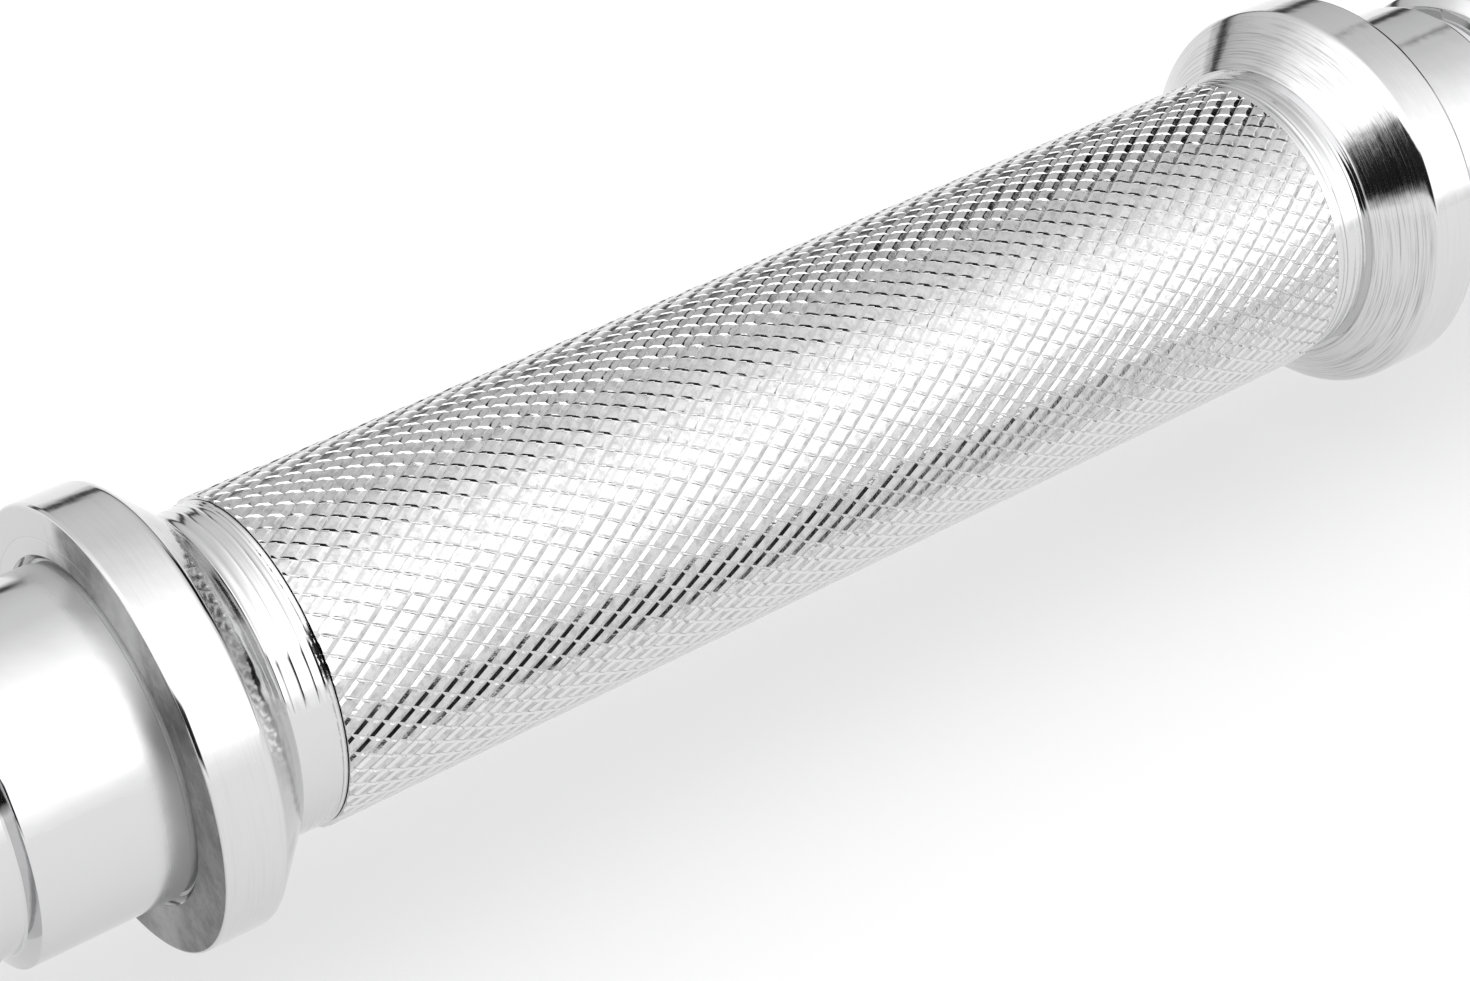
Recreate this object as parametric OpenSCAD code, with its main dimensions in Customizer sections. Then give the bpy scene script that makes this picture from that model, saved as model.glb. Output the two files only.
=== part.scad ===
// Short dumbbell bar for plates with a 30 mm class bore, with screw-on star nuts.
// A solid turned bar carries a knurled grip, two pressed stop collars and a coarse thread at
// each end. Each star nut holds a rubber ring that bears on the plates.
// Frame: origin at the middle of the bar on its axis, +X along the bar, +Z up.
// Every size is in millimetres.

/* [Grip] */
// Length of the knurled grip
grip_length = 114; // [90:1:160]
// Diameter over the knurl crests, also the diameter of the collar seats
grip_d = 30; // [30:0.5:34]
// Length of the turned neck between the grip and a collar
neck_length = 4.6; // [3:0.1:12]
// Diameter of the turned neck
neck_d = 29.2; // [26:0.1:29.6]

/* [Stop collars] */
// Length of a collar along the bar
collar_length = 9.9; // [8:0.1:20]
// Outside diameter of a collar
collar_d = 39.7; // [38:0.1:60]
// Length of the cone that faces the hand
collar_cone_length = 4.4; // [2:0.1:6]
// Wall left at the small end of the cone
collar_lip = 0.3; // [0.2:0.1:1]
// Rounding between the cone and the outside
collar_round = 0.9; // [0.3:0.1:1.5]
// Chamfer of the collar at the plate side
collar_edge = 0.3; // [0.1:0.1:0.8]
// Depth inside the collar at which the seat ends and the undercut starts
seat_setback = 0.8; // [0.4:0.1:3]
// Chamfer of the bore at the plate side
bore_chamfer = 0.45; // [0.2:0.05:0.9]

/* [Plate seats] */
// Diameter of the plain shoulder that a plate sits on
shoulder_d = 29.7; // [29.2:0.05:29.9]
// Length of the plain shoulder outside the collar, with the end of its undercut
shoulder_length = 13.3; // [8:0.1:30]
// Diameter of the undercut that clears a plate's edge at the collar
undercut_d = 29.3; // [28.5:0.05:29.5]
// Length of the undercut outside the collar's plate side
undercut_past = 0.2; // [0.1:0.05:0.5]
// Slope length of the shoulder's outer edge along the bar
shoulder_edge = 0.6; // [0.2:0.1:1.5]

/* [Screw thread] */
// Length from the shoulder's end to the bar's end
thread_end_length = 90.2; // [60:0.1:160]
// Lead of the single-start right-hand thread
thread_lead = 5; // [4:0.5:7]
// Diameter over the thread crests
thread_d = 29.6; // [28.5:0.1:29.6]
// Depth of the thread
thread_depth = 1.25; // [0.8:0.05:1.6]
// Width of the flat crest along the bar
thread_crest = 1.7; // [1:0.1:2]
// Length of each sloping flank along the bar
thread_flank = 0.8; // [0.5:0.1:1]
// Width of the relief groove between the shoulder and the thread
relief_width = 1.8; // [1:0.1:4]
// Depth on radius of the relief groove below the thread's root
relief_below = 0.2; // [0.15:0.05:0.5]
// Chamfer at the bar's ends
end_chamfer = 2; // [1:0.1:3]
// Diameter of the centre hole in each end of the bar
centre_hole_d = 4; // [2:0.5:8]

/* [Star nuts] */
// Diameter over the lobes of a star nut
nut_d = 68; // [60:1:90]
// Number of lobes
lobes = 6; // [6:2:8]
// Radius of each scallop between two lobes
scallop_r = 11; // [8:0.5:13]
// Depth of a scallop below the lobe circle
scallop_depth = 6.5; // [3:0.5:7]
// Thickness of the star
star_length = 12; // [8:0.5:20]
// Diameter of the round flange on the plate side
flange_d = 49; // [46:0.5:54]
// Length of the flange
flange_length = 6; // [5:0.5:12]
// Diameter of the boss on the outer side
boss_d = 40; // [36:0.5:44]
// Length of the boss
boss_length = 3; // [1:0.5:8]
// Chamfer of the nut's round edges
nut_edge = 1; // [0.4:0.1:1.5]
// Chamfer of the lobe edges
lobe_edge = 1.6; // [0.5:0.1:2.5]
// Distance from the bar's end to the nut's outer face as stored
nut_inset = 9; // [2:0.5:20]

/* [Rubber rings] */
// Outside diameter of a rubber ring
ring_d = 41; // [39:0.5:43]
// Wall of a rubber ring between its bore and its outside
ring_wall = 3.5; // [3:0.1:3.8]
// Thickness of a rubber ring
ring_length = 5.6; // [4:0.1:8]
// How far the ring stands out of the nut
ring_proud = 1.6; // [0.8:0.1:2.5]
// Rounding of the ring's bearing edges
ring_edge = 0.7; // [0.3:0.1:1]

/* [Fits] */
// Clearance on radius between the bar's thread and the nut's thread
thread_clearance = 0.35; // [0.3:0.05:0.5]
// Clearance along the bar on each flank of the thread
flank_clearance = 0.3; // [0.25:0.05:0.4]
// Clearance on radius between a rubber ring and its recess in the nut
ring_clearance = 0.08; // [0.05:0.01:0.1]
// Gap between a rubber ring and the floor of its recess
ring_floor_gap = 0.1; // [0.05:0.05:0.3]

/* [Hidden] */
$fn = 96;

// Smallest overlap that makes a cut or a union run through
eps = 0.01;
// Number of flat facets in one turn of the thread
thread_sides = 24;
// Length by which the turned form runs on inside each threaded end
core_reach = 1;
// Angle of the cone in a centre hole
centre_cone_angle = 60;

// Places along the bar, from the middle outwards
neck_x = grip_length / 2;
seat_x = neck_x + neck_length;
face_x = seat_x + collar_length;
seat_end_x = face_x - seat_setback;
undercut_x = face_x + undercut_past;
shoulder_x = face_x + shoulder_length;
relief_x = shoulder_x + shoulder_edge;
thread_x = relief_x + relief_width;
bar_x = shoulder_x + thread_end_length;

// Radii
grip_r = grip_d / 2;
neck_r = neck_d / 2;
collar_r = collar_d / 2;
undercut_r = undercut_d / 2;
shoulder_r = shoulder_d / 2;
crest_r = thread_d / 2;
root_r = crest_r - thread_depth;
relief_r = root_r - relief_below;
nut_r = nut_d / 2;
ring_r = ring_d / 2;
ring_bore_r = ring_r - ring_wall;

// The nut's places, measured from its plate side outwards
recess_depth = ring_length - ring_proud + ring_floor_gap;
star_from = flange_length;
star_to = star_from + star_length;
nut_length = star_to + boss_length;
nut_x = bar_x - nut_inset - nut_length;
// The star nut stands on two lobes, so a scallop points straight down
scallop_angle = 90;

// Puts a shape drawn along +Z onto the bar's axis, and repeats it turned for the left end
module on_axis() { rotate([90, 0, 90]) children(); }
module right_end() { on_axis() children(); }
module left_end() { rotate([0, 0, 180]) on_axis() children(); }

// Closed rod with a helical ridge, drawn along +Z from one lead before "from" to one lead
// after "to". "gap" grows its radius and "side" widens its ridge, which gives the nut's cavity.
module thread_rod(from, to, gap = 0, side = 0) {
    first = floor(from / thread_lead) - 1;
    turns = ceil(to / thread_lead) + 1 - first;
    steps = turns * thread_sides;
    profile = [
        [-thread_crest / 2 - thread_flank - side, root_r + gap],
        [-thread_crest / 2 - side, crest_r + gap],
        [thread_crest / 2 + side, crest_r + gap],
        [thread_crest / 2 + thread_flank + side, root_r + gap]
    ];
    corners = len(profile);
    helix = [
        for (i = [0:steps], p = profile)
            let (a = 360 * i / thread_sides)
                [p[1] * cos(a), p[1] * sin(a), thread_lead * (first + i / thread_sides) + p[0]]
    ];
    bottom = len(helix);
    top = bottom + 1;
    low_z = thread_lead * (first + 0.5);
    high_z = thread_lead * (first + turns - 0.5);
    flanks = [
        for (i = [0:steps - 1], k = [0:corners - 2])
            each quad(i * corners + k, (i + 1) * corners + k, (i + 1) * corners + k + 1, i * corners + k + 1)
    ];
    roots = [
        for (i = [0:steps - thread_sides - 1])
            let (up = (i + thread_sides) * corners)
                each quad(i * corners + corners - 1, (i + 1) * corners + corners - 1, up + corners, up)
    ];
    low_loop = concat(
        [for (i = [0:thread_sides]) i * corners],
        [for (k = [corners - 1:-1:1]) k]
    );
    last = steps * corners;
    high_loop = concat(
        [for (i = [steps - thread_sides:steps]) i * corners + corners - 1],
        [for (k = [0:corners - 2]) last + corners - 2 - k]
    );
    polyhedron(
        points = concat(helix, [[0, 0, low_z], [0, 0, high_z]]),
        faces = concat(
            flanks,
            roots,
            fan(bottom, low_loop, false),
            fan(top, high_loop, true)
        )
    );
}

// Two triangles across four corners, and a fan of triangles from a hub to a closed loop
function quad(a, b, c, d) = [[a, c, b], [a, d, c]];
function fan(hub, loop, up) = [
    for (i = [0:len(loop) - 1])
        let (next = loop[(i + 1) % len(loop)])
            up ? [hub, next, loop[i]] : [hub, loop[i], next]
];

// Round solid about the bar's axis from points of distance along the bar and radius
module turned(points) { rotate_extrude() polygon([for (p = points) [p[1], p[0]]]); }

// One threaded end, trimmed flat at the relief and chamfered at the tip
module threaded_end() {
    intersection() {
        thread_rod(thread_x, bar_x);
        turned([
            [thread_x, 0],
            [thread_x, crest_r + 1],
            [bar_x - end_chamfer - 1, crest_r + 1],
            [bar_x, crest_r - end_chamfer],
            [bar_x, 0]
        ]);
    }
}

// Centre hole for turning, left in the bar's end
module centre_hole() {
    depth = centre_hole_d / 2 / tan(centre_cone_angle / 2);
    turned([[bar_x - depth, 0], [bar_x, centre_hole_d / 2], [bar_x + 1, centre_hole_d / 2], [bar_x + 1, 0]]);
}

// Half of the plain turned form, from the middle to just inside the threaded end
half_profile = [
    [neck_x, grip_r],
    [neck_x, neck_r],
    [seat_x, neck_r],
    [seat_x, grip_r],
    [seat_end_x, grip_r],
    [seat_end_x, undercut_r],
    [undercut_x, undercut_r],
    [undercut_x, shoulder_r],
    [shoulder_x, shoulder_r],
    [relief_x, relief_r],
    [thread_x + core_reach, relief_r]
];

module bar() {
    color("gainsboro") difference() {
        union() {
            on_axis() turned(concat(
                [[-thread_x - core_reach, 0]],
                [for (i = [len(half_profile) - 1:-1:0]) [-half_profile[i][0], half_profile[i][1]]],
                half_profile,
                [[thread_x + core_reach, 0]]
            ));
            right_end() threaded_end();
            left_end() threaded_end();
        }
        right_end() centre_hole();
        left_end() centre_hole();
    }
}

// Rounded corner between the cone and the outside, as points on an arc tangent to both
cone_angle = atan((collar_r - grip_r - collar_lip) / collar_cone_length);
round_setback = collar_round * tan(cone_angle / 2);
round_centre = [seat_x + collar_cone_length + round_setback, collar_r - collar_round];

module collar() {
    color("lightgray") turned(concat(
        [[seat_x, grip_r], [seat_x, grip_r + collar_lip]],
        [for (i = [0:6]) let (a = 90 + cone_angle * (1 - i / 6))
            [round_centre[0] + collar_round * cos(a), round_centre[1] + collar_round * sin(a)]],
        [
            [face_x - collar_edge, collar_r],
            [face_x, collar_r - collar_edge],
            [face_x, grip_r + bore_chamfer],
            [face_x - bore_chamfer, grip_r]
        ]
    ));
}
module left_collar() { left_end() collar(); }
module right_collar() { right_end() collar(); }

// Star with rounded scallops and chamfered faces
module star() {
    difference() {
        turned([
            [nut_x + star_from - eps, 0],
            [nut_x + star_from - eps, nut_r - lobe_edge],
            [nut_x + star_from + lobe_edge, nut_r],
            [nut_x + star_to - lobe_edge, nut_r],
            [nut_x + star_to, nut_r - lobe_edge],
            [nut_x + star_to, 0]
        ]);
        for (i = [0:lobes - 1])
            rotate([0, 0, scallop_angle + i * 360 / lobes])
                translate([nut_r - scallop_depth + scallop_r, 0, nut_x])
                    cylinder(r = scallop_r, h = nut_length);
    }
}

module nut() {
    color("silver") difference() {
        union() {
            turned([
                [nut_x, 0],
                [nut_x, flange_d / 2 - nut_edge],
                [nut_x + nut_edge, flange_d / 2],
                [nut_x + star_from, flange_d / 2],
                [nut_x + star_from, 0]
            ]);
            star();
            turned([
                [nut_x + star_to - eps, 0],
                [nut_x + star_to - eps, boss_d / 2],
                [nut_x + nut_length - nut_edge, boss_d / 2],
                [nut_x + nut_length, boss_d / 2 - nut_edge],
                [nut_x + nut_length, 0]
            ]);
        }
        translate([0, 0, nut_x - 1]) cylinder(r = ring_r + ring_clearance, h = recess_depth + 1);
        thread_rod(nut_x, nut_x + nut_length, thread_clearance, flank_clearance);
    }
}
module left_nut() { left_end() nut(); }
module right_nut() { right_end() nut(); }

module ring() {
    from = nut_x - ring_proud;
    color("dimgray") turned([
        [from, ring_bore_r + ring_edge],
        [from + ring_edge, ring_bore_r],
        [from + ring_length, ring_bore_r],
        [from + ring_length, ring_r],
        [from + ring_edge, ring_r],
        [from, ring_r - ring_edge]
    ]);
}
module left_ring() { left_end() ring(); }
module right_ring() { right_end() ring(); }

bar();
left_collar();
right_collar();
left_nut();
right_nut();
left_ring();
right_ring();
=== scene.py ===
"""A short chromed dumbbell bar: knurled grip, coned stop collars, threaded ends and star nuts.

Every length is in metres. The bar lies along X with its middle at the origin, and Z is up.
"""
import math
import random

import bpy
from mathutils import Matrix, Vector


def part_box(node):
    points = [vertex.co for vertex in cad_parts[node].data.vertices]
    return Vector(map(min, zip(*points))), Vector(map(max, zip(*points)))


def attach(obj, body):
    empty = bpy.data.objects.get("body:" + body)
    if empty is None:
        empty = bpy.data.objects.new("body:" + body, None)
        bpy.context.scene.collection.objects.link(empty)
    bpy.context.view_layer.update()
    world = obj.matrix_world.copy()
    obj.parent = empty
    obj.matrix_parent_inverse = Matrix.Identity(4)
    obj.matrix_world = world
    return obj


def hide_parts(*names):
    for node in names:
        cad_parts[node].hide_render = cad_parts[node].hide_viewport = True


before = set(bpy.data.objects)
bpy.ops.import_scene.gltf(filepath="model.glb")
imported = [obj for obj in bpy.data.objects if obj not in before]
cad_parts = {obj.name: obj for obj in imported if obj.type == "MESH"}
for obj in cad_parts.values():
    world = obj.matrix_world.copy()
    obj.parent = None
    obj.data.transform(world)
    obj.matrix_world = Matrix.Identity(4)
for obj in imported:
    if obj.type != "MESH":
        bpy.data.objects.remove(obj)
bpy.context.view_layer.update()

MM = 0.001
FULL_TURN = 2 * math.pi
TURN_STEPS = 192
THREAD_STEPS = 96

# Places along the bar, taken from the frame
collar_low, collar_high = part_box("right_collar")
bar_low, bar_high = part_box("bar")
nut_low, nut_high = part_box("right_nut")
ring_low, ring_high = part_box("right_ring")
SEAT_X = collar_low.x
FACE_X = collar_high.x
COLLAR_R = collar_high.y
BAR_X = bar_high.x
GRIP_R = bar_high.y
NUT_X = nut_low.x
NUT_OUT_X = nut_high.x
NUT_R = nut_high.y - 0.005 * MM
RING_X = ring_low.x
RING_OUT_X = ring_high.x
RING_R = ring_high.y

# Bar
NECK_LENGTH = 4.6 * MM
NECK_R = 14.6 * MM
KNURL_X = SEAT_X - NECK_LENGTH
CORE_R = 14.1 * MM
UNDERCUT_R = 14.65 * MM
UNDERCUT_FROM = FACE_X - 0.8 * MM
UNDERCUT_TO = FACE_X + 0.2 * MM
SHOULDER_R = 14.85 * MM
SHOULDER_X = FACE_X + 13.3 * MM
RELIEF_X = SHOULDER_X + 0.6 * MM
RELIEF_R = 13.35 * MM
THREAD_X = RELIEF_X + 1.8 * MM

# Screw thread
THREAD_LEAD = 5 * MM
CREST_R = 14.8 * MM
ROOT_R = 13.55 * MM
CREST_WIDTH = 1.7 * MM
FLANK_WIDTH = 0.8 * MM
TIP_CHAMFER = 2 * MM
CENTRE_HOLE_R = 2 * MM

# Knurl
KNURL_AROUND = 52
KNURL_PITCH_X = 2.9 * MM
KNURL_PITCH_ROUND = FULL_TURN * GRIP_R / KNURL_AROUND
DEEP_GROOVE = 0.187 * MM
BORDER_GROOVE = 0.165 * MM
SHALLOW_GROOVE = 0.135 * MM
WALL_DROP = 0.085 * MM
KNURL_WEAR = 0.008 * MM
WALL_SHARE = 0.09
KNURL_SHARP = 13

# Collar
CONE_LENGTH = 4.4 * MM
CONE_LIP = 0.3 * MM
CONE_ROUND = 0.9 * MM
COLLAR_EDGE = 0.3 * MM
BORE_CHAMFER = 0.45 * MM
FACE_MARK_R = 17 * MM

# Star nut and its rubber ring
STAR_FROM = NUT_X + 6 * MM
STAR_TO = STAR_FROM + 12 * MM
FLANGE_R = 24.5 * MM
BOSS_R = 20 * MM
LOBES = 6
SCALLOP_R = 11 * MM
SCALLOP_DEPTH = 6.5 * MM
LOBE_CORNER = 1.7 * MM
LOBE_ROUND = 1.4 * MM
RECESS_R = RING_R + 0.08 * MM
RECESS_DEPTH = 4.1 * MM
THREAD_GAP = 0.35 * MM
FLANK_GAP = 0.3 * MM
RING_BORE_R = RING_R - 3.5 * MM


# Working by hand in edit mode

def deselect_all():
    bpy.ops.object.select_all(action="DESELECT")


def make_active(obj):
    deselect_all()
    obj.select_set(True)
    bpy.context.view_layer.objects.active = obj


def edit(obj):
    make_active(obj)
    bpy.ops.object.mode_set(mode="EDIT")
    bpy.ops.mesh.select_all(action="SELECT")


def leave_edit():
    bpy.ops.object.mode_set(mode="OBJECT")


def select_verts(obj, wanted):
    """Selects the vertices whose place passes the test."""
    bpy.ops.mesh.select_all(action="DESELECT")
    bpy.ops.mesh.select_mode(type="VERT")
    leave_edit()
    for vertex in obj.data.vertices:
        vertex.select = wanted(vertex.co)
    bpy.ops.object.mode_set(mode="EDIT")


def tidy_mesh(obj, gap=1e-6):
    """Merges doubles and turns every face outwards."""
    edit(obj)
    bpy.ops.mesh.remove_doubles(threshold=gap)
    bpy.ops.mesh.select_all(action="SELECT")
    bpy.ops.mesh.normals_make_consistent(inside=False)
    leave_edit()


def apply_modifier(obj, name):
    make_active(obj)
    bpy.ops.object.modifier_apply(modifier=name)


def smooth(obj, degrees=35):
    make_active(obj)
    bpy.ops.object.shade_smooth_by_angle(angle=math.radians(degrees))


def flatten_shading(obj):
    """Lets the large faces set the shading, so that flat ones stay flat beside rounded edges."""
    weighted = obj.modifiers.new("flatten", "WEIGHTED_NORMAL")
    weighted.keep_sharp = True
    weighted.weight = 80
    apply_modifier(obj, "flatten")


def cut(obj, tool, operation="DIFFERENCE"):
    """Cuts, joins or trims obj by the tool, and removes the tool."""
    boolean = obj.modifiers.new("cut", "BOOLEAN")
    boolean.operation = operation
    boolean.solver = "EXACT"
    boolean.object = tool
    apply_modifier(obj, "cut")
    bpy.data.objects.remove(tool)


def draw_through(name, places):
    """Draws a line through places in space, one extruded vertex after another."""
    deselect_all()
    bpy.ops.mesh.primitive_plane_add(size=MM)
    obj = bpy.context.object
    obj.name = obj.data.name = name
    edit(obj)
    bpy.ops.mesh.merge(type="CENTER")
    bpy.ops.transform.translate(value=places[0])
    for here, there in zip(places, places[1:]):
        step = tuple(b - a for a, b in zip(here, there))
        bpy.ops.mesh.extrude_region_move(TRANSFORM_OT_translate={"value": step})
    return obj


def draw_line(name, points):
    """Draws a line through points of (distance along the bar, radius), in the XY plane."""
    return draw_through(name, [(x, radius, 0) for x, radius in points])


def hold_ends(outline, reach=0.12 * MM):
    """Adds a point close to both ends of every long stretch, so that its shading stays straight."""
    held = [outline[0]]
    for here, there in zip(outline, outline[1:]):
        length = math.dist(here, there)
        if length > 8 * reach and min(here[1], there[1]) > 0:
            for share in (reach / length, 1 - reach / length):
                held.append(tuple(a + (b - a) * share for a, b in zip(here, there)))
        held.append(there)
    return held


def turn(name, outline, steps=TURN_STEPS):
    """Turns an outline of (distance along the bar, radius) on the lathe, about the bar's axis."""
    obj = draw_line(name, hold_ends(outline))
    bpy.ops.mesh.select_all(action="SELECT")
    bpy.ops.mesh.spin(steps=steps, angle=FULL_TURN, center=(0, 0, 0), axis=(1, 0, 0))
    leave_edit()
    tidy_mesh(obj)
    return obj


def copy_turned(obj, name):
    """The same piece for the left end: a half turn about Z, with its own mesh."""
    twin = obj.copy()
    twin.data = obj.data.copy()
    twin.name = twin.data.name = name
    bpy.context.scene.collection.objects.link(twin)
    twin.data.transform(Matrix.Rotation(math.pi, 4, "Z"))
    return twin


def arc(centre, radius, first, last, steps):
    """Points on an arc, by its angles in degrees from the bar's direction."""
    angles = [math.radians(first + (last - first) * i / steps) for i in range(steps + 1)]
    return [(centre[0] + radius * math.cos(a), centre[1] + radius * math.sin(a)) for a in angles]


# Bar

def neck_ridges(x_from, x_to, seed):
    """Fine uneven turning marks on the neck, from the collar towards the knurl."""
    marks = random.Random(seed)
    pitch = 0.17 * MM
    count = round(abs(x_to - x_from) / pitch)
    points = []
    for i in range(count):
        x = x_from + (x_to - x_from) * (i + 0.5) / count
        points.append((x, NECK_R + marks.uniform(-0.055, 0.015) * MM))
    return points


def half_outline(seed):
    """The bar from its middle to the end of the relief, as (distance, radius)."""
    neck = neck_ridges(KNURL_X + 0.3 * MM, SEAT_X - 0.05 * MM, seed)
    return [
        (KNURL_X, CORE_R),
        (KNURL_X + 0.04 * MM, NECK_R - 0.2 * MM),
        (KNURL_X + 0.07 * MM, NECK_R + 0.03 * MM),
        (KNURL_X + 0.20 * MM, NECK_R + 0.05 * MM),
        *neck,
        (SEAT_X, NECK_R),
        (SEAT_X, GRIP_R - 0.01 * MM),
        (UNDERCUT_FROM, GRIP_R - 0.01 * MM),
        (UNDERCUT_FROM, UNDERCUT_R),
        (UNDERCUT_TO, UNDERCUT_R),
        (UNDERCUT_TO, SHOULDER_R - 0.05 * MM),
        (UNDERCUT_TO + 0.05 * MM, SHOULDER_R),
        (SHOULDER_X - 0.06 * MM, SHOULDER_R),
        (SHOULDER_X, SHOULDER_R - 0.03 * MM),
        (RELIEF_X - 0.1 * MM, RELIEF_R + 0.15 * MM),
        (RELIEF_X + 0.1 * MM, RELIEF_R),
        (THREAD_X + 0.5 * MM, RELIEF_R),
        (THREAD_X + 0.5 * MM, 0),
    ]


def make_core():
    right = half_outline(seed=3)
    left = [(-x, r) for x, r in reversed(half_outline(seed=8))]
    core = turn("bar_core", left + right)
    smooth(core, 30)
    return core


def thread_outline(gap, side):
    """One lead of the thread's outline, centred on its crest."""
    crest = CREST_WIDTH / 2 + side
    foot = crest + FLANK_WIDTH
    round_off = 0.14 * MM
    slope = (CREST_R - ROOT_R) / FLANK_WIDTH
    rising = [
        (-THREAD_LEAD / 2, ROOT_R + gap),
        (-foot - round_off, ROOT_R + gap),
        (-foot + round_off, ROOT_R + gap + round_off * slope),
        (-crest - round_off, CREST_R + gap - round_off * slope),
        (-crest + round_off, CREST_R + gap),
    ]
    return rising + [(-x, r) for x, r in reversed(rising)]


def wind_thread(name, x_from, x_to, gap=0.0, side=0.0):
    """A closed threaded rod from x_from to x_to. A crest is at +Y where x is a whole lead."""
    first = math.floor(x_from / THREAD_LEAD) - 1
    turns = math.ceil(x_to / THREAD_LEAD) + 1 - first
    outline = [(x + first * THREAD_LEAD, r) for x, r in thread_outline(gap, side)]
    obj = draw_line(name, outline)
    leave_edit()
    wind = obj.modifiers.new("wind", "SCREW")
    wind.axis = "X"
    wind.angle = FULL_TURN
    wind.screw_offset = THREAD_LEAD
    wind.iterations = turns
    wind.steps = THREAD_STEPS
    wind.render_steps = THREAD_STEPS
    apply_modifier(obj, "wind")
    edit(obj)
    bpy.ops.mesh.remove_doubles(threshold=1e-6)
    for place, keep_low in ((x_from, False), (x_to, True)):
        bpy.ops.mesh.select_all(action="SELECT")
        bpy.ops.mesh.bisect(
            plane_co=(place, 0, 0), plane_no=(1, 0, 0), use_fill=True,
            clear_inner=not keep_low, clear_outer=keep_low, threshold=1e-7,
        )
    bpy.ops.mesh.select_all(action="SELECT")
    bpy.ops.mesh.normals_make_consistent(inside=False)
    leave_edit()
    return obj


def make_thread():
    """The right end's thread, chamfered at the tip and with its centre hole."""
    rod = wind_thread("right_thread", THREAD_X - MM, BAR_X + MM)
    start = 0.25 * MM
    hole_depth = CENTRE_HOLE_R / math.tan(math.radians(30))
    blank = turn("blank", [
        (THREAD_X, 0),
        (THREAD_X, CREST_R - start),
        (THREAD_X + start, CREST_R + 0.3 * MM),
        (BAR_X - TIP_CHAMFER - 0.3 * MM, CREST_R + 0.3 * MM),
        (BAR_X, CREST_R - TIP_CHAMFER),
        (BAR_X, CENTRE_HOLE_R),
        (BAR_X - hole_depth, 0),
    ])
    cut(rod, blank, "INTERSECT")
    tidy_mesh(rod)
    smooth(rod, 30)
    return rod


# Knurl

def make_knurl_diamond():
    """One diamond with half of each groove round it, flat, with its land at Z 0."""
    deselect_all()
    bpy.ops.mesh.primitive_grid_add(x_subdivisions=2, y_subdivisions=2, size=1)
    cell = bpy.context.object
    cell.name = cell.data.name = "grip_knurl"
    edit(cell)
    bpy.ops.mesh.inset(thickness=WALL_SHARE, use_boundary=True)
    bpy.ops.mesh.inset(thickness=WALL_SHARE, use_boundary=True)
    leave_edit()
    # Rings of the cell: its border at 0.5, the middle of the walls at 0.41, the land's edge at 0.32
    moves = [
        (lambda p: max(abs(p.x), abs(p.y)) > 0.45, (0, 0, -BORDER_GROOVE)),
        (lambda p: abs(p.x) > 0.45 and abs(p.y) < 0.1, (0, 0, BORDER_GROOVE - SHALLOW_GROOVE)),
        (lambda p: 0.36 < max(abs(p.x), abs(p.y)) < 0.45 and p.y > -0.36, (0, 0, -WALL_DROP)),
        (lambda p: -0.45 < p.y < -0.36 and abs(p.x) < 0.45, (0, 0, -DEEP_GROOVE)),
        (lambda p: 0.2 < max(abs(p.x), abs(p.y)) < 0.36, (0, 0, -KNURL_WEAR)),
        # The deep groove has a long gentle flank on one side and a steep wall on the other
        (lambda p: -0.45 < p.y < -0.36 and abs(p.x) < 0.45, (0, -0.05, 0)),
        (lambda p: 0.36 < p.y < 0.45 and abs(p.x) < 0.45, (0, -0.05, 0)),
        (lambda p: -0.36 < p.y < -0.2 and abs(p.x) < 0.36, (0, 0.044, 0)),
        (lambda p: 0.2 < p.y < 0.36 and abs(p.x) < 0.36, (0, -0.10, 0)),
        # The shallow groove is a V
        (lambda p: -0.45 < p.x < -0.36 and abs(p.y) < 0.49, (-0.047, 0, 0)),
        (lambda p: 0.36 < p.x < 0.45 and abs(p.y) < 0.49, (0.04, 0, 0)),
        (lambda p: -0.36 < p.x < -0.2 and abs(p.y) < 0.36, (-0.07, 0, 0)),
        (lambda p: 0.2 < p.x < 0.36 and abs(p.y) < 0.36, (0.055, 0, 0)),
    ]
    edit(cell)
    for wanted, step in moves:
        select_verts(cell, wanted)
        bpy.ops.transform.translate(value=step)
    leave_edit()
    lean = Matrix.Rotation(math.radians(-45), 4, "Z")
    stretch = Matrix.Diagonal((
        KNURL_PITCH_X / math.sqrt(2), KNURL_PITCH_ROUND / math.sqrt(2), 1, 1))
    cell.data.transform(stretch @ lean)
    return cell


def repeat(obj, count, step):
    array = obj.modifiers.new("repeat", "ARRAY")
    array.count = count
    array.use_relative_offset = False
    array.use_constant_offset = True
    array.constant_offset_displace = step
    array.use_merge_vertices = False
    apply_modifier(obj, "repeat")


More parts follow.
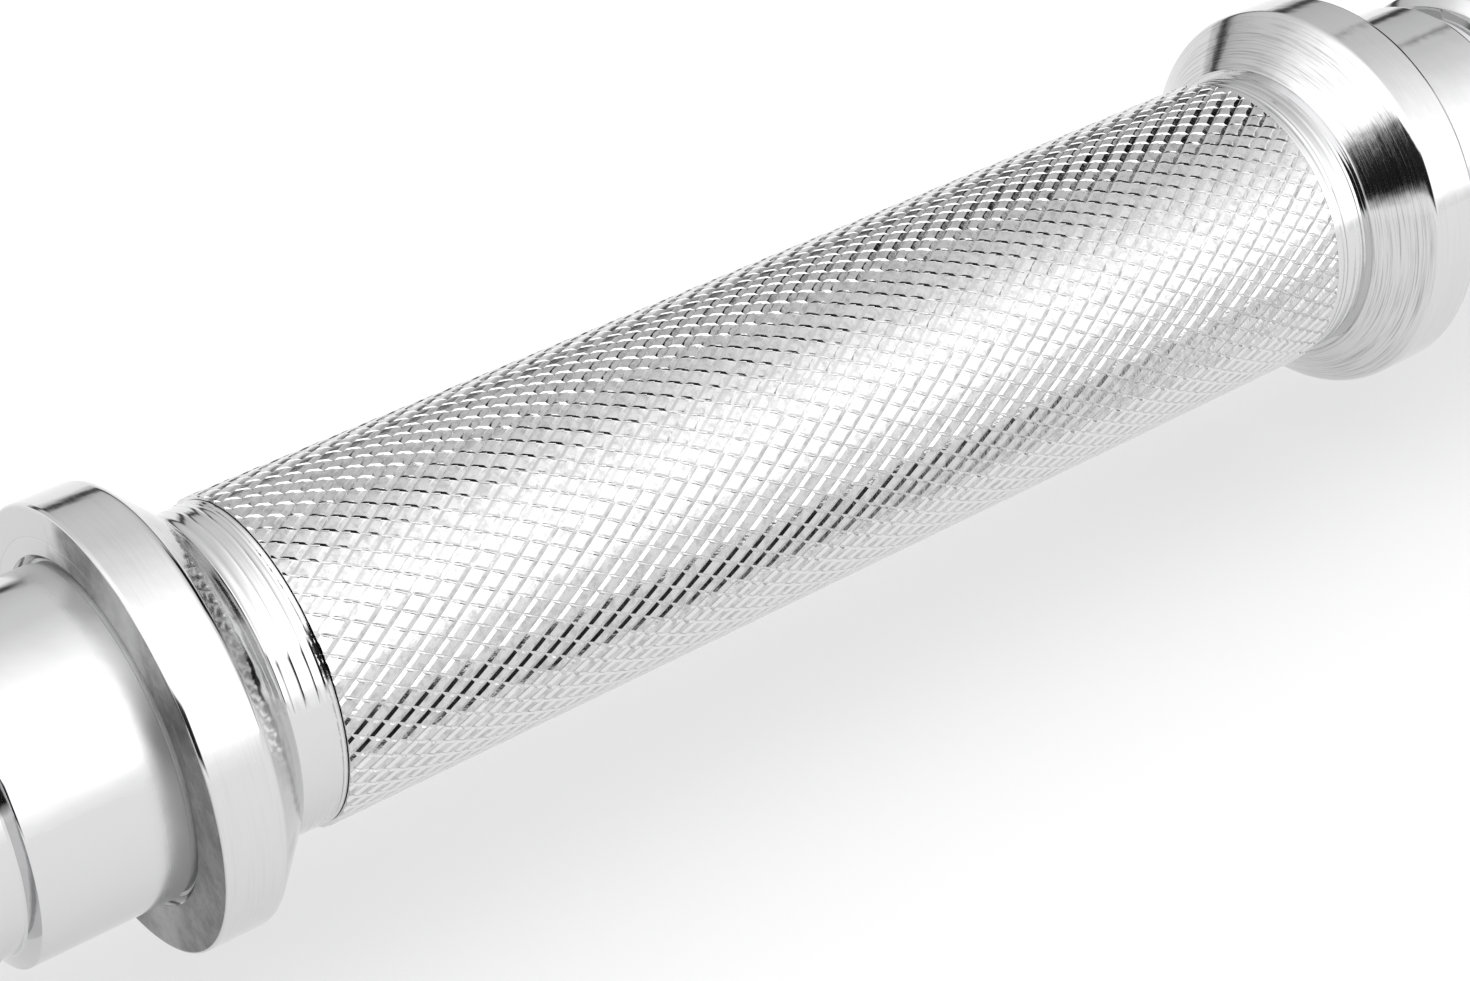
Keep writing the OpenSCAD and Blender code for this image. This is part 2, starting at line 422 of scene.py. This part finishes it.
def make_knurl():
    """The sheet of diamonds, rolled round the grip and trimmed at its ends."""
    knurl = make_knurl_diamond()
    along = math.ceil(2 * KNURL_X / KNURL_PITCH_X) + 2
    repeat(knurl, 2, (KNURL_PITCH_X / 2, KNURL_PITCH_ROUND / 2, 0))
    repeat(knurl, along, (KNURL_PITCH_X, 0, 0))
    repeat(knurl, KNURL_AROUND, (0, KNURL_PITCH_ROUND, 0))
    knurl.data.transform(Matrix.Translation((-along * KNURL_PITCH_X / 2, 0, 0)))
    edit(knurl)
    bpy.ops.mesh.remove_doubles(threshold=2e-6)
    leave_edit()
    wear = random.Random(5)
    for vertex in knurl.data.vertices:
        angle = vertex.co.y / GRIP_R
        radius = GRIP_R + vertex.co.z - wear.random() * KNURL_WEAR
        vertex.co.y = radius * math.cos(angle)
        vertex.co.z = radius * math.sin(angle)
    edit(knurl)
    bpy.ops.mesh.remove_doubles(threshold=2e-6)
    for side in (-1, 1):
        bpy.ops.mesh.select_all(action="SELECT")
        bpy.ops.mesh.bisect(
            plane_co=(side * KNURL_X, 0, 0), plane_no=(side, 0, 0),
            clear_outer=True, threshold=1e-7,
        )
    bpy.ops.mesh.select_all(action="SELECT")
    bpy.ops.mesh.region_to_loop()
    bpy.ops.mesh.extrude_edges_move()
    inwards = CORE_R / GRIP_R
    bpy.ops.transform.resize(value=(1, inwards, inwards), center_override=(0, 0, 0))
    bpy.ops.mesh.bridge_edge_loops()
    leave_edit()
    tidy_mesh(knurl, 1e-7)
    smooth(knurl, KNURL_SHARP)
    return knurl


# Collars

def make_collar():
    """The stop collar: its cone towards the hand, its flat face towards the plates."""
    rise = COLLAR_R - GRIP_R - CONE_LIP
    slope = math.degrees(math.atan2(rise, CONE_LENGTH))
    setback = CONE_ROUND * math.tan(math.radians(slope / 2))
    crown_middle = (SEAT_X + CONE_LENGTH + setback, COLLAR_R - CONE_ROUND)
    crown = arc(crown_middle, CONE_ROUND, 90 + slope, 90, 6)
    collar = turn("right_stop_collar", [
        (SEAT_X, GRIP_R),
        (SEAT_X, GRIP_R + CONE_LIP * 0.6),
        (SEAT_X + 0.08 * MM, GRIP_R + CONE_LIP),
        *crown,
        (FACE_X - COLLAR_EDGE, COLLAR_R),
        (FACE_X - COLLAR_EDGE * 0.3, COLLAR_R - COLLAR_EDGE * 0.3),
        (FACE_X, COLLAR_R - COLLAR_EDGE),
        (FACE_X, FACE_MARK_R + 0.06 * MM),
        (FACE_X - 0.03 * MM, FACE_MARK_R),
        (FACE_X, FACE_MARK_R - 0.06 * MM),
        (FACE_X, GRIP_R + BORE_CHAMFER + 0.05 * MM),
        (FACE_X - 0.05 * MM, GRIP_R + BORE_CHAMFER),
        (FACE_X - BORE_CHAMFER, GRIP_R),
        (SEAT_X, GRIP_R),
    ])
    smooth(collar, 30)
    return collar


# Star nuts

def star_outline():
    """The star seen along the bar: lobes on the full circle, hollows between, rounded corners."""
    corner = LOBE_CORNER
    reach = NUT_R - SCALLOP_DEPTH + SCALLOP_R
    share = (NUT_R - corner) ** 2 + reach ** 2 - (SCALLOP_R + corner) ** 2
    lean = math.acos(share / (2 * (NUT_R - corner) * reach))
    middle = ((NUT_R - corner) * math.cos(lean), (NUT_R - corner) * math.sin(lean))
    inwards = math.degrees(math.atan2(-middle[1], reach - middle[0]))
    lean = math.degrees(lean)
    half = [
        *arc((0, 0), NUT_R, 180 / LOBES, lean, 5)[:-1],
        *arc(middle, corner, lean, inwards, 6)[:-1],
        *arc((reach, 0), SCALLOP_R, 180 + inwards, 180, 9),
    ]
    hollow = half + [(a, -b) for a, b in reversed(half)][1:]
    points = []
    for i in range(LOBES):
        angle = math.radians(90 - i * 360 / LOBES)
        c, s = math.cos(angle), math.sin(angle)
        points += [(a * c - b * s, a * s + b * c) for a, b in hollow[:-1]]
    return points + points[:1]


def make_star():
    """The star, extruded from its outline, with both rims rounded by steps of inset."""
    places = [(STAR_FROM + LOBE_ROUND, y, z) for y, z in star_outline()]
    star = draw_through("right_star_nut", places)
    bpy.ops.mesh.select_all(action="SELECT")
    bpy.ops.mesh.remove_doubles(threshold=1e-6)
    bpy.ops.mesh.select_all(action="SELECT")
    bpy.ops.mesh.edge_face_add()
    depth = STAR_TO - STAR_FROM - 2 * LOBE_ROUND
    bpy.ops.mesh.extrude_region_move(TRANSFORM_OT_translate={"value": (depth, 0, 0)})
    bpy.ops.mesh.select_all(action="SELECT")
    bpy.ops.mesh.normals_make_consistent(inside=False)
    steps = [math.radians(a) for a in (0, 22.5, 45, 67.5, 90)]
    for x in (STAR_FROM + LOBE_ROUND, STAR_TO - LOBE_ROUND):
        select_verts(star, lambda p: abs(p.x - x) < 1e-6)
        bpy.ops.mesh.select_mode(type="FACE")
        for here, there in zip(steps, steps[1:]):
            bpy.ops.mesh.inset(
                thickness=LOBE_ROUND * (math.cos(here) - math.cos(there)),
                depth=LOBE_ROUND * (math.sin(there) - math.sin(here)),
            )
        bpy.ops.mesh.select_mode(type="VERT")
    leave_edit()
    return star


def make_nut():
    """The star with its flange and boss, the ring's recess and the threaded bore."""
    star = make_star()
    fillet = 0.8 * MM
    body = turn("hub", [
        (NUT_X, 0),
        (NUT_X, FLANGE_R - MM),
        *arc((NUT_X + MM, FLANGE_R - MM), MM, 180, 90, 5),
        *arc((STAR_FROM - fillet, FLANGE_R + fillet), fillet, 270, 360, 5),
        (STAR_FROM + MM, FLANGE_R + fillet),
        (STAR_FROM + MM, BOSS_R + fillet),
        (STAR_TO - MM, BOSS_R + fillet),
        *arc((STAR_TO + fillet, BOSS_R + fillet), fillet, 180, 270, 5),
        *arc((NUT_OUT_X - MM, BOSS_R - MM), MM, 90, 0, 5),
        (NUT_OUT_X, 0),
    ])
    cut(star, body, "UNION")
    recess = turn("recess", [
        (NUT_X - MM, 0),
        (NUT_X - MM, RECESS_R + 0.6 * MM),
        (NUT_X, RECESS_R + 0.4 * MM),
        (NUT_X + 0.4 * MM, RECESS_R),
        (NUT_X + RECESS_DEPTH, RECESS_R),
        (NUT_X + RECESS_DEPTH, 0),
    ])
    cut(star, recess)
    cut(star, wind_thread("cavity", NUT_X - MM, NUT_OUT_X + MM, THREAD_GAP, FLANK_GAP))
    tidy_mesh(star)
    smooth(star, 32)
    flatten_shading(star)
    return star


def make_ring():
    """The rubber ring, with rounded edges on the side that bears on the plate."""
    soft = 0.7 * MM
    ring = turn("right_rubber_ring", [
        (RING_X + soft, RING_BORE_R),
        *arc((RING_X + soft, RING_BORE_R + soft), soft, 270, 180, 5)[1:],
        *arc((RING_X + soft, RING_R - soft), soft, 180, 90, 5),
        (RING_OUT_X - 0.2 * MM, RING_R),
        (RING_OUT_X, RING_R - 0.2 * MM),
        (RING_OUT_X, RING_BORE_R + 0.2 * MM),
        (RING_OUT_X - 0.2 * MM, RING_BORE_R),
        (RING_X + soft, RING_BORE_R),
    ])
    smooth(ring, 40)
    return ring


# Finishes

class Finish:
    """A material's node tree, with short calls that add nodes and join them."""

    def __init__(self, name):
        self.material = bpy.data.materials.new(name)
        self.material.use_nodes = True
        self.tree = self.material.node_tree
        self.shader = self.tree.nodes["Principled BSDF"]
        self.place = self.add("ShaderNodeTexCoord").outputs["Object"]

    def add(self, kind, **settings):
        node = self.tree.nodes.new(kind)
        for key, value in settings.items():
            setattr(node, key, value)
        return node

    def join(self, source, target):
        self.tree.links.new(source, target)

    def feed(self, node, index, value):
        if isinstance(value, bpy.types.NodeSocket):
            self.join(value, node.inputs[index])
        elif value is not None:
            node.inputs[index].default_value = value

    def math(self, operation, a, b=None):
        node = self.add("ShaderNodeMath", operation=operation)
        self.feed(node, 0, a)
        self.feed(node, 1, b)
        return node.outputs[0]

    def noise(self, vector, scale, detail=2.0, roughness=0.5):
        node = self.add("ShaderNodeTexNoise")
        self.join(vector, node.inputs["Vector"])
        node.inputs["Scale"].default_value = scale
        node.inputs["Detail"].default_value = detail
        node.inputs["Roughness"].default_value = roughness
        return node.outputs["Fac"]

    def remap(self, value, low, high, to_low, to_high):
        node = self.add("ShaderNodeMapRange")
        self.feed(node, 0, value)
        for index, number in enumerate((low, high, to_low, to_high), start=1):
            node.inputs[index].default_value = number
        return node.outputs[0]

    def blend(self, share, first, second):
        """The first value where the share is 0, the second where it is 1."""
        node = self.add("ShaderNodeMix", data_type="FLOAT")
        self.feed(node, 0, share)
        self.feed(node, 2, first)
        self.feed(node, 3, second)
        return node.outputs[0]

    def bump(self, height, distance, before=None):
        node = self.add("ShaderNodeBump")
        node.inputs["Strength"].default_value = 1.0
        node.inputs["Distance"].default_value = distance
        self.join(height, node.inputs["Height"])
        if before is not None:
            self.join(before, node.inputs["Normal"])
        return node.outputs["Normal"]

    def split_place(self):
        split = self.add("ShaderNodeSeparateXYZ")
        self.join(self.place, split.inputs[0])
        return split.outputs

    def radius(self):
        x, y, z = self.split_place()
        squares = self.math("ADD", self.math("MULTIPLY", y, y), self.math("MULTIPLY", z, z))
        return self.math("SQRT", squares)

    def uprightness(self):
        """How squarely the surface faces away from the bar's axis: 1 for a plain cylinder."""
        split = self.add("ShaderNodeSeparateXYZ")
        self.join(self.add("ShaderNodeTexCoord").outputs["Normal"], split.inputs[0])
        x, y, z = self.split_place()
        by_y = self.math("MULTIPLY", y, split.outputs[1])
        by_z = self.math("MULTIPLY", z, split.outputs[2])
        outwards = self.math("ADD", by_y, by_z)
        return self.math("DIVIDE", outwards, self.radius())

    def round_the_bar(self, along, around):
        """Coordinates that run fast along the bar and its radius, and slowly round it."""
        x, y, z = self.split_place()
        radius = self.radius()
        combine = self.add("ShaderNodeCombineXYZ")
        self.join(self.math("MULTIPLY", self.math("ADD", x, radius), along), combine.inputs[0])
        self.join(self.math("MULTIPLY", self.math("DIVIDE", y, radius), around), combine.inputs[1])
        self.join(self.math("MULTIPLY", self.math("DIVIDE", z, radius), around), combine.inputs[2])
        return combine.outputs[0]


def polished_chrome():
    """Bright plating over a fine-turned surface: slow waves, faint turning marks and haze."""
    f = Finish("polished_chrome")
    f.shader.inputs["Metallic"].default_value = 1.0
    f.shader.inputs["Base Color"].default_value = (0.66, 0.66, 0.665, 1)
    marks = f.noise(f.round_the_bar(5000, 1.5), 1.0, 3)
    waves = f.noise(f.place, 240, 2)
    haze = f.noise(f.place, 90, 3)
    # Plates have rubbed the seat dull close to the collar
    distance = f.math("ABSOLUTE", f.split_place()[0])
    past_collar = f.math("GREATER_THAN", distance, FACE_X - MM)
    rubbed = f.remap(distance, FACE_X + 0.5 * MM, FACE_X + 5 * MM, 0.42, 0.0)
    rubbed = f.math("MULTIPLY", past_collar, rubbed)
    roughness = f.math("MAXIMUM", rubbed, f.remap(haze, 0.3, 0.7, 0.04, 0.10))
    f.join(roughness, f.shader.inputs["Roughness"])
    normal = f.bump(waves, 0.00005)
    f.join(f.bump(marks, 0.0000014, normal), f.shader.inputs["Normal"])
    return f.material


def brushed_chrome():
    """Plating over coarser turning, with streaks round the cone, and a face to the plates coloured
    dark for its duller plating and as painted shade, with painted reflections of the lit floor.
    """
    f = Finish("brushed_chrome")
    f.shader.inputs["Metallic"].default_value = 1.0
    streaks = f.noise(f.round_the_bar(4200, 2.2), 1.0, 4, 0.6)
    stains = f.noise(f.place, 420, 4, 0.7)
    waves = f.noise(f.place, 300, 2)
    distance = f.math("ABSOLUTE", f.split_place()[0])
    outside = f.math("GREATER_THAN", distance, FACE_X - 0.04 * MM)
    cone = f.remap(f.radius(), COLLAR_R - 0.45 * MM, COLLAR_R - 0.15 * MM, 1.0, 0.12)
    bright = f.blend(cone, 0.66, f.remap(streaks, 0.30, 0.52, 0.36, 0.62))
    # The plate face's dark base tone: partly its duller plating, partly painted shade
    face_tone_and_painted_light = f.remap(stains, 0.34, 0.60, 0.17, 0.29)
    # The plate face is coloured dark, partly for its duller plating and partly as painted shade
    # from the shadowed floor it reflects; its bright side and one paler patch are painted
    # reflections of the lit floor
    ragged_edge = f.math("MULTIPLY", f.noise(f.place, 260, 3), 6 * MM)
    ragged = f.math("ADD", f.split_place()[1], ragged_edge)
    painted_bright_side = f.remap(ragged, 4.5 * MM, 7 * MM, 0.0, 1.0)
    from_painted_patch = f.math("ABSOLUTE", f.math("ADD", ragged, 4 * MM))
    painted_pale_patch = f.remap(from_painted_patch, 1.5 * MM, 4.5 * MM, 0.35, 0.0)
    # Painted reflections: the bright side and the paler patch lighten the face's colour
    face_tone_and_painted_light = f.blend(f.math("MAXIMUM", painted_bright_side, painted_pale_patch), face_tone_and_painted_light, 0.62)
    f.join(f.blend(outside, bright, face_tone_and_painted_light), f.shader.inputs["Base Color"])
    shine = f.remap(streaks, 0.3, 0.7, 0.05, 0.13)
    f.join(f.blend(outside, shine, 0.44), f.shader.inputs["Roughness"])
    normal = f.bump(waves, 0.00004)
    f.join(f.bump(f.math("MULTIPLY", streaks, cone), 0.00001, normal), f.shader.inputs["Normal"])
    return f.material


def knurl_chrome():
    """Plating over pressed diamonds: the steep groove walls paler, the lands darker and smudged."""
    f = Finish("knurl_chrome")
    f.shader.inputs["Metallic"].default_value = 1.0
    grain = f.noise(f.place, 1500, 3, 0.6)
    smudges = f.noise(f.place, 1100, 4, 0.65)
    steep = f.remap(f.uprightness(), 0.90, 0.95, 1.0, 0.0)
    land = f.remap(smudges, 0.36, 0.54, 0.46, 0.62)
    f.join(f.blend(steep, land, 0.70), f.shader.inputs["Base Color"])
    f.join(f.remap(smudges, 0.35, 0.7, 0.14, 0.05), f.shader.inputs["Roughness"])
    f.join(f.bump(grain, 0.000018), f.shader.inputs["Normal"])
    return f.material


def satin_chrome():
    """Thinner plating over a casting: a soft grain and a slightly grey tone."""
    f = Finish("satin_chrome")
    f.shader.inputs["Metallic"].default_value = 1.0
    grain = f.noise(f.place, 1400, 4, 0.6)
    lumps = f.noise(f.place, 180, 2)
    f.join(f.remap(grain, 0.35, 0.65, 0.46, 0.54), f.shader.inputs["Base Color"])
    f.join(f.remap(lumps, 0.3, 0.7, 0.16, 0.27), f.shader.inputs["Roughness"])
    normal = f.bump(lumps, 0.00012)
    f.join(f.bump(grain, 0.00001, normal), f.shader.inputs["Normal"])
    return f.material


def matt_rubber():
    """Black rubber with a fine grain and a little dust."""
    f = Finish("matt_rubber")
    grain = f.noise(f.place, 3000, 3, 0.6)
    dust = f.noise(f.place, 120, 3)
    colour = f.add("ShaderNodeMix", data_type="RGBA")
    f.join(f.remap(dust, 0.4, 0.75, 0.0, 1.0), colour.inputs["Factor"])
    colour.inputs[6].default_value = (0.016, 0.016, 0.017, 1)
    colour.inputs[7].default_value = (0.05, 0.05, 0.048, 1)
    f.join(colour.outputs[2], f.shader.inputs["Base Color"])
    f.join(f.remap(grain, 0.3, 0.7, 0.55, 0.8), f.shader.inputs["Roughness"])
    f.join(f.bump(grain, 0.00002), f.shader.inputs["Normal"])
    return f.material


def finish_piece(obj, material, body, slot, *stands_for):
    """Gives a piece its finish and its body, and hides the nodes that it stands for. The slot is
    not used.
    """
    obj.data.materials.clear()
    obj.data.materials.append(material)
    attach(obj, body)
    if stands_for:
        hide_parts(*stands_for)


# Room

FLOOR_Z = nut_low.z
CAMERA_PLACE = (-0.15176, -0.18796, 0.16798)
CAMERA_AIM = Vector((0.49514, 0.63965, -0.58795))


def make_camera():
    """The photograph's view: a 78 mm lens on a 36 mm sensor, looking down at 36 degrees."""
    data = bpy.data.cameras.new("camera")
    data.lens = 78.0
    data.sensor_width = 36.0
    data.clip_start = 0.01
    data.clip_end = 20.0
    camera = bpy.data.objects.new("camera", data)
    bpy.context.scene.collection.objects.link(camera)
    camera.location = CAMERA_PLACE
    camera.rotation_mode = "QUATERNION"
    camera.rotation_quaternion = CAMERA_AIM.to_track_quat("-Z", "Y")
    bpy.context.scene.camera = camera


def make_floor():
    """A white table lit softly from below, so that the shadow on it stays pale."""
    deselect_all()
    bpy.ops.mesh.primitive_plane_add(size=6, location=(0, 0, FLOOR_Z))
    floor = bpy.context.object
    floor.name = "floor"
    paint = Finish("floor_paint")
    paint.shader.inputs["Base Color"].default_value = (0.52, 0.52, 0.52, 1)
    paint.shader.inputs["Roughness"].default_value = 0.9
    paint.shader.inputs["Specular IOR Level"].default_value = 0.1
    paint.shader.inputs["Emission Color"].default_value = (1, 1, 1, 1)
    paint.shader.inputs["Emission Strength"].default_value = 0.39
    floor.data.materials.append(paint.material)


# Brightness of the room on a vertical half circle over the bar, from straight down behind it
# (-90 degrees) by the horizon behind (0), overhead (90) and the horizon in front (180)
ROOM_BEHIND = 58.0
ROOM_STEPS = [
    (-90, 0.9), (2, 0.8), (5, 0.08), (9, 0.08), (13, 0.66), (22, 0.76), (34, 0.84), (48, 0.88),
    (62, 1.08), (76, 1.40), (90, 1.75), (105, 2.0), (128, 2.1), (152, 2.1), (162, 1.5), (171, 1.25),
    (180, 1.15), (269, 0.9),
]
ROOM_PEAK = 2.1
# The dark openings between the light panels, as azimuth, elevation and half sizes in degrees
OPENINGS = [(-121.0, 25.0, 36.0, 16.5), (14.0, 21.0, 14.5, 15.5)]
# The room is a little dimmer towards the bar's right end
RIGHT_END_LIGHT = 0.86


class Room(Finish):
    """The world's node tree, with the same short calls."""

    def __init__(self):
        world = bpy.data.worlds.new("studio")
        bpy.context.scene.world = world
        world.use_nodes = True
        self.tree = world.node_tree
        self.shader = self.tree.nodes["Background"]
        self.place = self.add("ShaderNodeTexCoord").outputs["Generated"]

    def along(self, direction):
        node = self.add("ShaderNodeVectorMath", operation="DOT_PRODUCT")
        self.join(self.place, node.inputs[0])
        node.inputs[1].default_value = direction
        return node.outputs["Value"]

    def opening(self, sizes):
        """0 inside a dark opening, 1 outside it, with a soft edge."""
        azimuth, elevation, half_width, half_height = (math.radians(a) for a in sizes)
        level = Vector((math.cos(azimuth), math.sin(azimuth), 0))
        facing = level * math.cos(elevation) + Vector((0, 0, math.sin(elevation)))
        sideways = Vector((-level.y, level.x, 0))
        upwards = facing.cross(sideways)
        across = self.math("DIVIDE", self.along(sideways), math.sin(half_width))
        high = self.math("DIVIDE", self.along(upwards), math.sin(half_height))
        far = self.math("MAXIMUM", self.math("ABSOLUTE", across), self.math("ABSOLUTE", high))
        behind = self.remap(self.along(facing), 0.0, 0.1, 5.0, 0.0)
        return self.remap(self.math("ADD", far, behind), 0.8, 1.15, 0.01, 1.0)


def make_studio():
    """Soft light panels round the bar, with two dark openings between them."""
    room = Room()
    back = math.radians(ROOM_BEHIND)
    level = room.along((math.cos(back), math.sin(back), 0))
    turn_up = room.math("ARCTAN2", room.along((0, 0, 1)), level)
    share = room.math("FRACT", room.math("ADD", room.math("DIVIDE", turn_up, FULL_TURN), 0.25))
    ramp = room.add("ShaderNodeValToRGB")
    ramp.color_ramp.interpolation = "LINEAR"
    elements = ramp.color_ramp.elements
    while len(elements) > 1:
        elements.remove(elements[0])
    for i, (degrees, brightness) in enumerate(ROOM_STEPS):
        element = elements[0] if i == 0 else elements.new(1.0)
        element.position = (degrees + 90) / 360
        element.color = [brightness / ROOM_PEAK] * 3 + [1]
    room.join(share, ramp.inputs[0])
    room.join(ramp.outputs[0], room.shader.inputs["Color"])
    to_right = room.along((1, 0, 0))
    strength = room.remap(to_right, 0.3, 0.8, ROOM_PEAK, RIGHT_END_LIGHT * ROOM_PEAK)
    for sizes in OPENINGS:
        strength = room.math("MULTIPLY", strength, room.opening(sizes))
    room.join(strength, room.shader.inputs["Strength"])
    bpy.context.scene.view_settings.view_transform = "Standard"


def main():
    polished, brushed, knurled = polished_chrome(), brushed_chrome(), knurl_chrome()
    satin, rubber = satin_chrome(), matt_rubber()

    finish_piece(make_core(), polished, "bar", "bar_chrome", "bar")
    finish_piece(make_knurl(), knurled, "bar", "bar_chrome")
    thread = make_thread()
    finish_piece(copy_turned(thread, "left_thread"), polished, "bar", "bar_chrome")
    finish_piece(thread, polished, "bar", "bar_chrome")

    collar = make_collar()
    left_collar = copy_turned(collar, "left_stop_collar")
    finish_piece(left_collar, brushed, "bar", "collar_chrome", "left_collar")
    finish_piece(collar, brushed, "bar", "collar_chrome", "right_collar")

    nut = make_nut()
    left_nut = copy_turned(nut, "left_star_nut")
    finish_piece(left_nut, satin, "left_nut", "nut_chrome", "left_nut")
    finish_piece(nut, satin, "right_nut", "nut_chrome", "right_nut")

    ring = make_ring()
    left_ring = copy_turned(ring, "left_rubber_ring")
    finish_piece(left_ring, rubber, "left_ring", "ring_rubber", "left_ring")
    finish_piece(ring, rubber, "right_ring", "ring_rubber", "right_ring")

    make_floor()
    make_studio()
    make_camera()


main()
